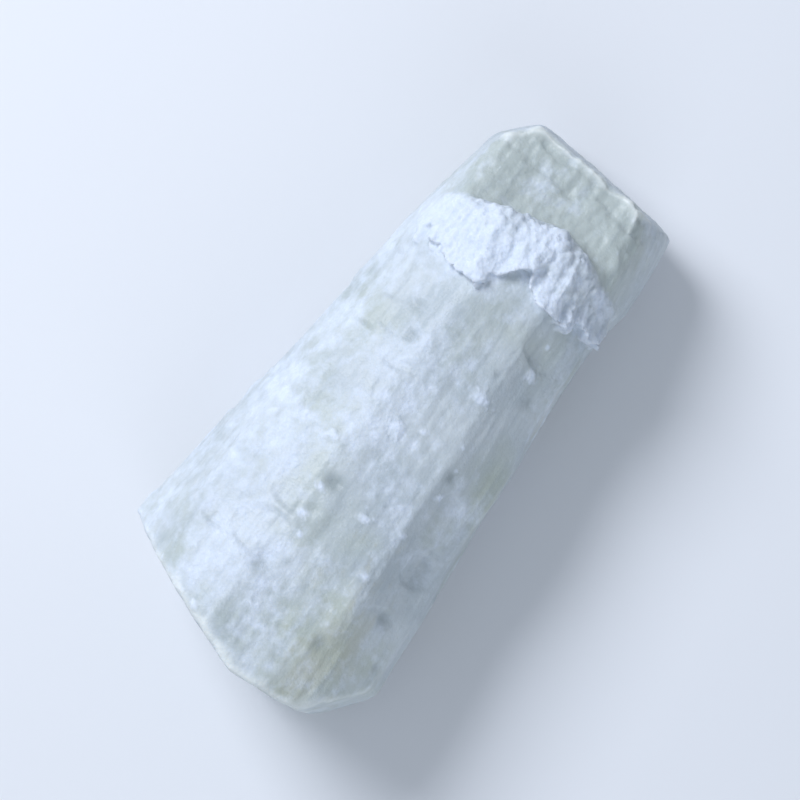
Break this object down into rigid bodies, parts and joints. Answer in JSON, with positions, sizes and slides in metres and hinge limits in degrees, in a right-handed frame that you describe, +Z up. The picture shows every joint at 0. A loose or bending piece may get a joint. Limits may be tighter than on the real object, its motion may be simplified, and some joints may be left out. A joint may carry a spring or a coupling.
{
  "type": "cassava root piece",
  "caption": "Peeled, knife-cut length of frozen cassava root, chopped at its thick end and snapped to a torn ledge at its thin end, lying on a flat cut side.",
  "frame": {"origin": "middle of the bounding box, on the flat underside that the piece rests on", "axes": "+X runs along the root from its thick, chopped end to its thin, snapped end; +Z is up, out of the top; +Y is across"},
  "size_m": [0.0732, 0.0346, 0.0271],
  "materials": {
    "cassava_flesh": null
  },
  "bodies": {
    "root": {"cassava_piece": "cassava_flesh"}
  },
  "joints": []
}
